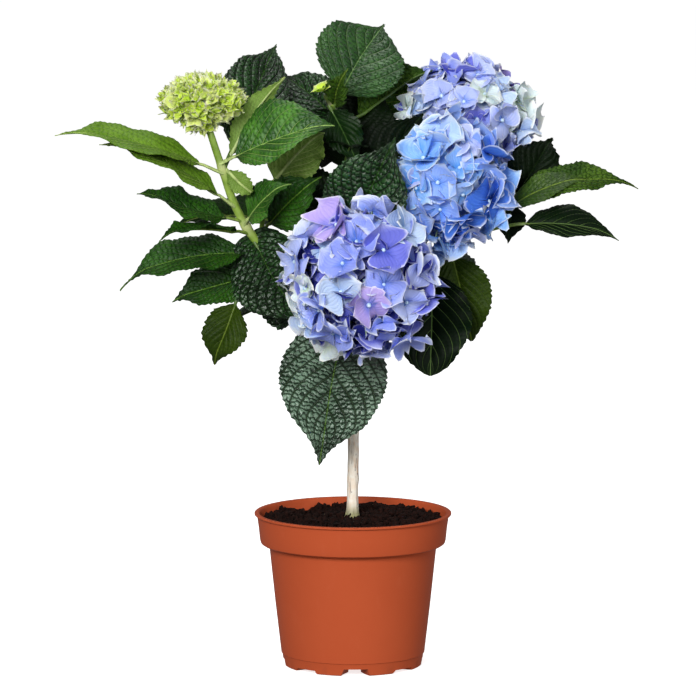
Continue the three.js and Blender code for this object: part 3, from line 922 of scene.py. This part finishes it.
# Each leaf finish: three tones of its blade from dark to light and the tone of its veins, the
# settings of leaf_finish in their order, and the finishes of its under side and its rib.
LEAF_FINISHES = {
    "pale": (
        [(84, 112, 36), (112, 144, 58), (138, 168, 82), (196, 212, 134)],
        (0.3, 0.5, 0.0005, 0.2, 0.6), "pale", "pale_rib",
    ),
    "dark_under": (
        [(26, 44, 8), (40, 62, 14), (56, 82, 24), (98, 124, 44)],
        (0.3, 0.5, 0.0005, 0.2, 0.5), "dark_under", "dark_rib",
    ),
    "dark": (
        [(2, 16, 1), (11, 41, 6), (33, 75, 24), (48, 88, 20)],
        (0.9, 0.34, 0.0014, 0.55, 0.1, 2.3, 0.55), "dark_under", "dark_rib",
    ),
    # A dark glossy leaf: its pale grey-green top tone is a painted sheen on the cell tops.
    "sheeny": (
        [(2, 22, 4), (28, 55, 31), (122, 152, 126), (92, 130, 44)],
        (0.85, 0.35, 0.0017, 0.9, 0.14, 2.8, 0.5, 2.1, -0.06), "dark_under", "green_rib",
    ),
    "veined": (
        [(0, 12, 0), (3, 19, 2), (8, 31, 5), (98, 126, 66)],
        (0.12, 0.45, 0.0005, 0.12, 0.65), "dark_under", "green_rib",
    ),
    # Olive leaf tones, lightened and yellowed as painted light on a leaf at the front.
    "sunny": (
        [(18, 42, 1), (38, 66, 5), (66, 94, 18), (116, 140, 50)],
        (0.35, 0.42, 0.0008, 0.28, 0.35, 2.4), "sunny", "green_rib",
    ),
    "green": (
        [(8, 36, 1), (22, 60, 5), (46, 94, 15), (104, 144, 50)],
        (0.5, 0.4, 0.0009, 0.25, 0.42, 2.6), "dark_under", "green_rib",
    ),
    "bright": (
        [(12, 48, 2), (34, 80, 12), (76, 128, 40), (160, 196, 100)],
        (0.5, 0.38, 0.0006, 0.3, 0.6, 2.6), "pale", "pale_rib",
    ),
    "fresh": (
        [(58, 92, 10), (84, 120, 24), (108, 144, 42), (178, 200, 106)],
        (0.3, 0.45, 0.0006, 0.2, 0.5, 2.6), "pale", "pale_rib",
    ),
    "smooth": (
        [(3, 22, 2), (8, 32, 4), (16, 46, 9), (62, 94, 38)],
        (0.15, 0.4, 0.0005, 0.22, 0.6), "dark_under", "dark_rib",
    ),
    # A finish for leaves deep in the crown: its near-black tones are painted shade.
    "inner": (
        [(2, 10, 1), (5, 18, 2), (10, 28, 5), (24, 42, 14)],
        (0.4, 0.5, 0.0008, 0.12, 0.4), "inner", "dark_rib",
    ),
    "olive": (
        [(24, 42, 0), (38, 58, 2), (54, 76, 8), (98, 118, 36)],
        (0.3, 0.46, 0.0005, 0.15, 0.45), "olive", "dark_rib",
    ),
    "ribbed": (
        [(16, 38, 2), (42, 72, 10), (74, 104, 24), (114, 142, 50)],
        (0.6, 0.48, 0.0012, 0.14, 0.5, 2.6), "ribbed", "dark_rib",
    ),
    "silvery": (
        [(8, 36, 3), (26, 66, 16), (56, 98, 40), (104, 140, 78)],
        (0.6, 0.38, 0.0013, 0.42, 0.55, 2.4, 0.45, 2.0, -0.04), "dark_under", "green_rib",
    ),
}

RIBS = {
    "green_rib": (128, 156, 62),
    "dark_rib": (82, 112, 40),
    "pale_rib": (186, 206, 126),
}

# The leaves of each finish, and what sets the shape of each apart. All others are dark.
LEAF_SHAPES = {
    "fresh": {
        "long_left": {"puff": 0.7, "wave": 0.8, "point": 0.9},
        "under_left": {"puff": 0.8},
    },
    "bright": {
        "bright": {"wave": 0.6},
        "wing": {"puff": 0.6, "teeth": 0.6},
    },
    "pale": {
        "pale_strip": {"puff": 0.6, "slim": 0.6},
        "pale_hanging": {"puff": 0.6},
        "shoot_underside": {"puff": 1.2, "wave": 1.6},
    },
    "silvery": {
        "top": {"puff": 0.8, "wave": 1.3, "point": 1.0, "teeth": 1.4, "blunt": 0.82},
    },
    "ribbed": {
        "top_ribbed": {"puff": 1.5},
        "bud_guard": {"puff": 1.2, "wave": 1.6},
        "right_high": {"puff": 1.1, "wave": 0.7, "point": 0.8},
    },
    "dark": {
        "top_left": {"puff": 0.8},
        "round": {
            "puff": 0.7, "point": 0.0, "teeth": 0.7, "blunt": 0.6, "early": 0.85, "lobes": 0.42,
        },
        "round_upper": {"puff": 1.2, "wave": 1.2, "slim": 0.6},
        "centre": {"puff": 1.3, "wave": 0.8, "point": 0.7},
        "tall_left": {"puff": 1.5, "wave": 1.4, "point": 0.8},
    },
    # The bottom leaf, with the painted sheen.
    "sheeny": {
        "bottom": {
            "wave": 0.8, "point": 0.75, "teeth": 1.2, "blunt": 0.72, "early": 0.64, "lobes": 0.36,
        },
    },
    "olive": {
        "hanging_left": {"puff": 0.9, "point": 0.6},
        "low_right_rear": {"puff": 0.8, "point": 0.2, "blunt": 0.7},
    },
    "green": {
        "shoot_crinkled": {"puff": 1.4, "wave": 1.9, "teeth": 1.4},
        "mid_left": {"point": 0.6},
        "edge_left": {"puff": 0.8},
        "low_left": {"point": 0.6},
        "curled_left": {"droop": 2.2, "point": 1.0},
        "back_high": {}, "back_high_left": {}, "back_left": {}, "back_right": {},
    },
    # Leaves deep in the crown, dark with the inner finish's painted shade.
    "inner": {
        "shade_left": {}, "shade_right": {}, "shade_gap": {},
        "shade_top": {"puff": 1.2},
        "dark_underside": {"point": 0.1, "teeth": 0.3},
        "right_fork": {"puff": 0.6, "teeth": 0.6},
        "right_dark": {"puff": 1.5, "wave": 2.4, "point": 0.9, "teeth": 1.6},
    },
    "veined": {
        "low_right": {"puff": 0.6, "point": 0.0, "teeth": 0.8, "blunt": 0.56, "early": 1.0},
        "right_low": {"puff": 0.8, "wave": 0.5, "teeth": 0.5, "point": 0.7},
    },
    # The front right leaf, in the olive tones lightened as painted light.
    "sunny": {"right_inner": {"puff": 0.6, "wave": 0.5, "teeth": 0.4}},
    "smooth": {"bud_lower": {"puff": 1.2, "wave": 1.6}},
}


def leaves():
    limbs = limb_tree()
    skins = {name: rib_finish(name, tone) for name, tone in RIBS.items()}
    for name, (tones, settings, _, _) in LEAF_FINISHES.items():
        skins[name] = leaf_finish(name + "_leaf", tones, *settings)
    finish_of = {kind: name for name, group in LEAF_SHAPES.items() for kind in group}
    for name in sorted(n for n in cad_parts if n.startswith("leaf_")):
        kind = name.removeprefix("leaf_")
        upper = finish_of.get(kind, "dark")
        under, rib = LEAF_FINISHES[upper][2:]
        shape = LEAF_SHAPES[upper].get(kind, {})
        leaf(name, limbs, (skins[upper], skins[under], skins[rib]), **shape)


# ---- Blooms ----

INNER_SPACING = 0.9
INNER_SIZE = 0.85
LAYER_STEP = 0.16
FIVE_SEPALS = 0.06
SEPAL_LAP = 0.03
WHITE_SIZE = 0.88
BUD_SCALES = 8
BUD_TURN = 2.4
BUD_GRID = (6, 4)


def sepal(rng, length, half, cup, curl, bowl, wave, rows, columns):
    """One sepal as a grid: across, out and up from the heart of its floret."""
    a, c = np.meshgrid(np.linspace(0, 1, rows + 1), np.linspace(-1, 1, columns + 1), indexing="ij")
    a, c = a.ravel(), c.ravel()
    tip = rise(a, 0.6, 0.4)
    width = half * np.maximum(np.sin(math.pi * a**0.88) ** 0.9, 0.16 * (1 - a))
    width *= 1 - 0.5 * tip * tip * (3 - 2 * tip)
    edge = np.abs(c)
    phase = rng.uniform(0, 2 * math.pi)
    x = width * c
    bent = cup - curl * a
    y = length * (np.cos(bent) * a - 0.04 * edge**2 * np.sin(math.pi * a))
    z = length * np.sin(bent) * a + bowl * width * edge**2
    z += wave * edge**2 * np.sin(2 * math.pi * 0.9 * a + phase + (c > 0) * 2.1)
    z -= 0.04 * length * np.exp(-((c / 0.25) ** 2)) * np.sin(math.pi * a)
    twist = rng.normal() * 0.14
    x, z = x * math.cos(twist) - z * math.sin(twist) * 0.4, z + x * math.sin(twist)
    fan = np.stack([c, a, np.full_like(a, rng.uniform(-1, 1))], 1)
    return np.stack([x, y, z], 1), fan


def sepal_faces(rows, columns):
    across = columns + 1
    start = (np.arange(rows)[:, None] * across + np.arange(columns)[None]).ravel()
    return np.stack([start, start + 1, start + across + 1, start + across], 1)


def stagger(spots, reach):
    """A level from 0 to 2 for each floret, unlike those of the florets beside it."""
    levels = np.zeros(len(spots), int)
    for i in range(1, len(spots)):
        near = np.linalg.norm(spots[:i] - spots[i], axis=1) < reach
        levels[i] = np.bincount(levels[:i][near], minlength=3).argmin()
    return levels


def scatter(name, spacing, middle, rng, tries=5000):
    """Seeded places on a node's skin, no two nearer than the spacing, and the way out of each."""
    corners, normal = skin_of(name)
    area = np.linalg.norm(normal, axis=1)
    picked = rng.choice(len(corners), tries, p=area / area.sum())
    share = np.sort(rng.uniform(size=(tries, 2)), axis=1)
    weights = np.stack([share[:, 0], share[:, 1] - share[:, 0], 1 - share[:, 1]], 1)
    spots = (corners[picked] * weights[:, :, None]).sum(1)
    kept = []
    for i, spot in enumerate(spots):
        if all(((spot - spots[k]) ** 2).sum() > spacing**2 for k in kept):
            kept.append(i)
    spots = spots[kept]
    return spots, unit(unit(normal[picked[kept]]) * 0.4 + unit(spots - middle) * 0.6)


def bloom(
    name, palette, slot, tints, shares_at, bare, size, spacing, deep, cups, seed,
    sunk=0.3, taper=0.0, broad=(0.66, 0.8), grid=(7, 6),
):
    """A mop-head of florets set over its node's skin, in an outer and a deeper layer."""
    rng = np.random.default_rng(seed)
    low, high = (np.array(v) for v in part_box(name))
    middle = (low + high) / 2
    spots, ways = scatter(name, spacing, middle, rng)
    inner, inner_ways = scatter(name, spacing * INNER_SPACING, middle, rng)
    layer = np.repeat([0, 1], [len(spots), len(inner)])
    level = stagger(spots, spacing * 1.5)[:, None]
    outer = spots - ways * size * (sunk + LAYER_STEP * level)
    spots = np.concatenate([outer, inner - inner_ways * deep])
    drop = np.clip((middle[2] - spots[:, 2:]) / (high[2] - low[2]) * 2, 0, 1)
    spots[:, :2] = middle[:2] + (spots[:, :2] - middle[:2]) * (1 - taper * drop)
    shares = (spots - middle) / (high - low) * 2
    kept = ~((bare[0] < shares) & (shares < bare[1])).all(1)
    ways = np.concatenate([ways, inner_ways])[kept] + np.array([0, 0, taper])

    places, sides, fans, tint_of, hearts = [], [], [], [], []
    faces = sepal_faces(*grid)
    for spot, way, depth in zip(spots[kept], unit(ways), layer[kept]):
        lean = unit(way + rng.normal(size=3) * (0.3 if depth else 0.2))
        first = unit(np.cross(lean, rng.normal(size=3)))
        second = np.cross(lean, first)
        scale = size * rng.uniform(0.86, 1.12) * (INNER_SIZE if depth else 1)
        shares = shares_at((spot - middle) / (high - low) * 2, depth)
        tint = int(rng.choice(len(shares), p=np.array(shares, float) / sum(shares)))
        scale *= WHITE_SIZE if tints[tint] == "white_green" else 1
        settled = spot + lean * rng.normal() * size * 0.03
        hearts.append((settled, lean))
        petals = 5 if rng.uniform() < FIVE_SEPALS else 4
        for k in range(petals):
            turn = 2 * math.pi * k / petals + rng.normal() * 0.09
            cup = math.radians(np.clip(rng.normal(*cups), -25, 72))
            length = scale * rng.uniform(0.9, 1.08)
            half = scale * rng.uniform(*broad)
            curl, bowl = rng.uniform(-0.35, 0.75), rng.uniform(-0.45, 0.65)
            wave = scale * rng.uniform(0.09, 0.22)
            shape, fan = sepal(rng, length, half, cup, curl, bowl, wave, *grid)
            shape[:, 2] += (SEPAL_LAP if k % 2 else -SEPAL_LAP) * scale
            out = first * math.cos(turn) + second * math.sin(turn)
            sides.append(faces + len(places) * len(shape))
            places.append(settled + shape @ np.array([np.cross(out, lean), out, lean]))
            fans.append(fan)
            tint_of.append(np.full(len(faces), tint))

    piece = from_arrays(name + "_florets", places, sides)
    fans, tint_of = np.concatenate(fans), np.concatenate(tint_of)
    set_points(piece, "fan", fans)
    dress(piece, *[palette[tint] for tint in tints])
    piece.data.polygons.foreach_set("material_index", tint_of.astype(np.int32))
    tile_bake_map(piece, fans, tint_of)
    smooth(piece, 180)
    settle(piece, slot, name)
    return hearts


def tile_bake_map(piece, fans, tint_of):
    """Each tint's sepals share one tile of the map, since they share one pattern."""
    corner = read(piece.data.loops, "vertex_index")
    tile = np.repeat(tint_of, 4)
    across = (tile % 3 + 0.03 + 0.94 * (fans[corner, 0] * 0.5 + 0.5)) / 3
    along = (tile // 3 + 0.03 + 0.94 * fans[corner, 1]) / 3
    add_bake_map(piece.data, across, along)


def beads(name, slot, hearts, finish, radius, lift):
    """The small round bud at the heart of each floret."""
    deselect()
    bpy.ops.mesh.primitive_uv_sphere_add(segments=8, ring_count=5, radius=1)
    edit(bpy.context.object, (bpy.ops.mesh.quads_convert_to_tris, {}))
    ball, faces = taken_apart(bpy.context.object)
    rng = seed_of(name)
    places = [spot + lean * lift + ball * radius * rng.uniform(0.8, 1.15) for spot, lean in hearts]
    sides = [faces + i * len(ball) for i in range(len(hearts))]
    complete(from_arrays(name + "_hearts", places, sides), 180, finish, slot)


def stalks(name, slot, hearts, hub, finish, radius, sides=5, steps=4):
    """Thin stalks that fan out from the end of the bough to the florets."""
    turn = np.arange(sides) * 2 * math.pi / sides
    share = np.linspace(0, 1, steps + 1)[:, None]
    corner = np.arange(steps * sides)
    beside = corner - corner % sides + (corner + 1) % sides
    faces = np.stack([corner, beside, beside + sides, corner + sides], 1)
    places = []
    for spot, lean in hearts:
        sag = lean * 0.12 * np.linalg.norm(spot - hub)
        line = hub + (spot - hub) * share - sag * np.sin(math.pi * share)
        first, second = frames_along(line)
        ring = first[:, None] * np.cos(turn)[:, None] + second[:, None] * np.sin(turn)[:, None]
        girth = radius * (1.5 - 0.5 * share)[:, None]
        places.append((line[:, None] + ring * girth).reshape(-1, 3))
    sheaths = [faces + i * len(places[0]) for i in range(len(places))]
    complete(from_arrays(name + "_stalks", places, sheaths), 180, finish, slot)


# Each tint of sepal: its heart, body and margin.
TINTS = {
    "periwinkle": ((86, 124, 218), (150, 164, 236), (206, 216, 250)),
    "lavender": ((116, 148, 228), (184, 196, 246), (230, 237, 254)),
    "rose_lavender": ((108, 128, 222), (186, 168, 233), (222, 212, 248)),
    "violet": ((58, 76, 186), (114, 120, 214), (170, 176, 238)),
    "ice": ((140, 176, 230), (192, 212, 244), (230, 238, 252)),
    # The darkest violet goes only on the deeper layer of florets, as painted shade between them.
    "painted_shade_violet": ((30, 38, 112), (58, 64, 162), (104, 110, 204)),
    "white_green": ((204, 226, 190), (222, 236, 238), (240, 244, 240)),
    "sky": ((70, 150, 236), (140, 186, 248), (208, 230, 253)),
    "cornflower": ((62, 130, 228), (144, 176, 243), (204, 220, 252)),
    "pale_blue": ((108, 172, 240), (178, 206, 249), (226, 238, 254)),
    "deep_blue": ((26, 70, 168), (70, 118, 216), (140, 176, 240)),
    "lime": ((130, 172, 6), (210, 236, 84), (244, 253, 172)),
    "pale_lime": ((168, 204, 40), (234, 248, 144), (252, 255, 216)),
}
BLUES = ("sky", "cornflower", "pale_blue", "deep_blue", "lavender", "white_green")
LAVENDERS = (
    "periwinkle", "lavender", "rose_lavender", "violet", "ice", "white_green", "painted_shade_violet",
)


def front_shares(place, depth):
    """The share of each tint at a place in the bloom's box, from -1 to 1 each way."""
    # The deeper layer takes mostly the darkest tints, as painted shade between the florets.
    if depth:
        return [1.5, 0.5, 0, 3, 0.3, 0.3, 5]
    if place[0] < -0.2 and place[2] < 0.6:
        return [2, 2, 0, 0.4, 2.4, 3.4]
    if place[2] > 0.1 and abs(place[0]) < 0.5:
        return [1.2, 2.4, 4.4, 0.5, 0.4, 0]
    return [4, 2, 0.8, 3, 0.6, 0.2]


def blue_shares(place, depth):
    # The deeper layer takes mostly deep blue, as painted shade between the florets.
    if depth:
        return [1.5, 2, 0.5, 4.5, 0.4, 0]
    return [2, 2, 3, 0.6, 3, 0] if place[2] > 0.5 else [4, 3, 2.4, 1.2, 1.6, 0]


def lilac_shares(place, depth):
    # The deeper layer leans to the darker tints, as painted shade between the florets.
    if depth:
        return [3, 3.5, 0.5, 1.8, 1.4, 0.8, 0.3]
    if place[0] > 0.55 and place[2] < 0.3:
        return [0.5, 1, 0.4, 0.2, 3, 5]
    if place[0] < -0.3 and place[2] < 0.3:
        return [1, 1.6, 0.6, 0.4, 3, 3]
    return [2.4, 4, 1.6, 0.8, 2, 0.4]


def green_shares(place, depth):
    # The deeper layer takes more of the darker lime, as painted shade; so do the lower florets.
    return [3.0, 1.0] if depth or place[2] < -0.2 else [2.0, 2.6]


# Where a bloom is bare of florets, as boxes: nowhere, at the foot where they would hang too low,
# at the right where the bough's fork comes out, and at the left where shaded leaves show.
FAR = 9.0
NOWHERE = (FAR, FAR, FAR), (FAR, FAR, FAR)
LOW_FOOT = (-FAR, -FAR, -FAR), (FAR, FAR, -0.8)
FORK_GAP = (0.28, -FAR, -FAR), (FAR, FAR, -0.32)
SHADE_GAP = (-0.9, -FAR, -0.8), (0.0, 0.4, -0.12)

# How each bloom is made: deep is how far the second layer lies under the first, cups the usual
# cupping of a sepal and its spread in degrees, broad the bounds of half its width.
BLOOMS = {
    "front_bloom": {
        "slot": "lavender_bloom", "tints": LAVENDERS, "shares_at": front_shares, "bare": LOW_FOOT,
        "size": 19 * MM, "spacing": 20.5 * MM, "deep": 17 * MM, "cups": (21, 11), "seed": 11,
    },
    "blue_bloom": {
        "slot": "blue_bloom", "tints": BLUES, "shares_at": blue_shares, "bare": FORK_GAP,
        "size": 18.6 * MM, "spacing": 19.8 * MM, "deep": 17 * MM, "cups": (21, 11), "seed": 23,
    },
    "lilac_bloom": {
        "slot": "lilac_bloom", "tints": LAVENDERS, "shares_at": lilac_shares, "bare": SHADE_GAP,
        "size": 16 * MM, "spacing": 16.4 * MM, "deep": 14 * MM, "cups": (25, 13), "seed": 31,
    },
    "green_bloom": {
        "slot": "green_bloom", "tints": ("lime", "pale_lime"), "shares_at": green_shares,
        "bare": NOWHERE,
        "size": 10.2 * MM, "spacing": 6.6 * MM, "deep": 8 * MM, "cups": (64, 11), "seed": 47,
        "sunk": 0.85, "taper": 0.75, "broad": (0.32, 0.42), "grid": (5, 4),
    },
}


def blooms():
    palette = {}
    for tint, tones in TINTS.items():
        strength = 0.8 if "lime" in tint else 1.0
        palette[tint] = sepal_finish("sepal_" + tint, *[paint(*tone) for tone in tones], strength)
    bead = plain_finish("floret_heart", (176, 214, 240), (222, 238, 246), 700, 0.3)
    lime_bead = plain_finish("green_floret_heart", (168, 200, 70), (206, 226, 130), 700, 0.35)
    stalk = plain_finish("floret_stalk", (120, 150, 110), (150, 172, 160), 300, 0.5)
    lime_stalk = plain_finish("green_floret_stalk", (168, 190, 96), (198, 214, 130), 300, 0.5)
    # The hearts' radius and lift and the stalks' radius, on open and on young florets.
    opened = (bead, 1.5 * MM, 1.1 * MM), (stalk, 0.6 * MM)
    young = (lime_bead, 0.8 * MM, 0.5 * MM), (lime_stalk, 0.45 * MM)
    for name, job in BLOOMS.items():
        hearts = bloom(name, palette, **job)
        heart_set, stalk_set = young if name == "green_bloom" else opened
        beads(name, job["slot"], hearts, *heart_set)
        bough = "left_bough" if name == "green_bloom" else name.replace("bloom", "bough")
        hub = smooth_line(BOUGHS[bough][0], 9)[-1]
        stalks(name, job["slot"], hearts, hub, *stalk_set)
    top_bud(palette["lime"])


def top_bud(finish):
    """The bud at the top of the plant: a few small folded scales round one another."""
    low, high = (np.array(v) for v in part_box("bud"))
    middle, tall = (low + high) / 2, (high - low).max()
    rng = seed_of("bud")
    way = unit(np.array([-0.4, -0.4, 0.8]))
    first = unit(np.cross(way, [1.0, 0, 0]))
    second = np.cross(way, first)
    faces = sepal_faces(*BUD_GRID)
    places, sides, fans = [], [], []
    for k in range(BUD_SCALES):
        turn = k * BUD_TURN
        cup = math.radians(74 - k * 5)
        length, half, wave = tall * 0.95, tall * 0.36, tall * 0.05
        shape, fan = sepal(rng, length, half, cup, 0.1, 0.7, wave, *BUD_GRID)
        out = first * math.cos(turn) + second * math.sin(turn)
        foot = middle - way * tall * 0.45
        places.append(foot + shape @ np.array([np.cross(out, way), out, way * 0.55]))
        sides.append(faces + k * len(shape))
        fans.append(fan)
    piece = from_arrays("top_bud_scales", places, sides)
    set_points(piece, "fan", np.concatenate(fans))
    complete(piece, 180, finish, "green_bloom", "bud")


# ---- Studio ----


LIT_MIDDLE = (0, 0, 0.26)
VIEW_TARGET = Vector((-3.5 * MM, 0, 227.4 * MM))
VIEW_RISE = math.radians(7.5)
VIEW_DISTANCE = 3.5
VIEW_LENS = 255
# Each lamp: its place, width and power.
LAMPS = {
    "key": ((-0.6, -2.0, 1.05), 0.9, 45),
    "fill": ((1.3, -1.4, 0.6), 0.9, 7),
    "top": ((-0.1, 0.4, 2.0), 0.7, 13),
}
ROOM_LIGHT = 0.26
BACKDROP_LIGHT = 1.05
FLOOR_LIGHT = 0.78


def aimed(name, data, place, target):
    """A lamp or camera that looks from its place at a target."""
    made = bpy.data.objects.new(name, data)
    made.location = place
    made.rotation_euler = (Vector(target) - Vector(place)).to_track_quat("-Z", "Y").to_euler()
    bpy.context.scene.collection.objects.link(made)
    return made


def studio():
    deselect()
    bpy.ops.mesh.primitive_plane_add(size=60, location=(0, 0, -0.0002))
    floor = bpy.context.object
    floor.name = "floor"
    finish = Finish("pale_floor")
    cloud = finish.noise(3, 2)
    tone = finish.blend(cloud, paint(244, 244, 244), paint(246, 246, 246))
    glow = {"emission_color": (1, 1, 1, 1), "emission_strength": FLOOR_LIGHT}
    dress(floor, finish.surface(tone, 0.8 + cloud * 0.1, cloud, 0.0001, shine=0.0, **glow))
    # The floor's glow is for the eye only: the plant is lit by the room and the lamps.
    floor.visible_diffuse = False
    floor.visible_glossy = False

    world = bpy.data.worlds.new("soft_studio")
    bpy.context.scene.world = world
    world.use_nodes = True
    nodes, links = world.node_tree.nodes, world.node_tree.links
    room = nodes["Background"]
    room.inputs["Color"].default_value = (1, 1, 1, 1)
    room.inputs["Strength"].default_value = ROOM_LIGHT
    backdrop = nodes.new("ShaderNodeBackground")
    backdrop.inputs["Color"].default_value = (1, 1, 1, 1)
    backdrop.inputs["Strength"].default_value = BACKDROP_LIGHT
    ray = nodes.new("ShaderNodeLightPath")
    choice = nodes.new("ShaderNodeMixShader")
    links.new(ray.outputs["Is Camera Ray"], choice.inputs[0])
    links.new(room.outputs[0], choice.inputs[1])
    links.new(backdrop.outputs[0], choice.inputs[2])
    links.new(choice.outputs[0], nodes["World Output"].inputs["Surface"])

    for name, (place, size, power) in LAMPS.items():
        lamp = bpy.data.lights.new(name, "AREA")
        lamp.shape = "DISK"
        lamp.size, lamp.energy = size, power
        aimed(name, lamp, place, LIT_MIDDLE)

    data = bpy.data.cameras.new("camera")
    away = Vector((0, -math.cos(VIEW_RISE), math.sin(VIEW_RISE)))
    camera = aimed("camera", data, VIEW_TARGET + away * VIEW_DISTANCE, VIEW_TARGET)
    data.lens = VIEW_LENS
    data.sensor_width = 36
    data.clip_start, data.clip_end = 0.1, 30
    bpy.context.scene.camera = camera
    bpy.context.scene.view_settings.view_transform = "Standard"


pot()
compost()
stem()
boughs()
leaves()
blooms()
studio()
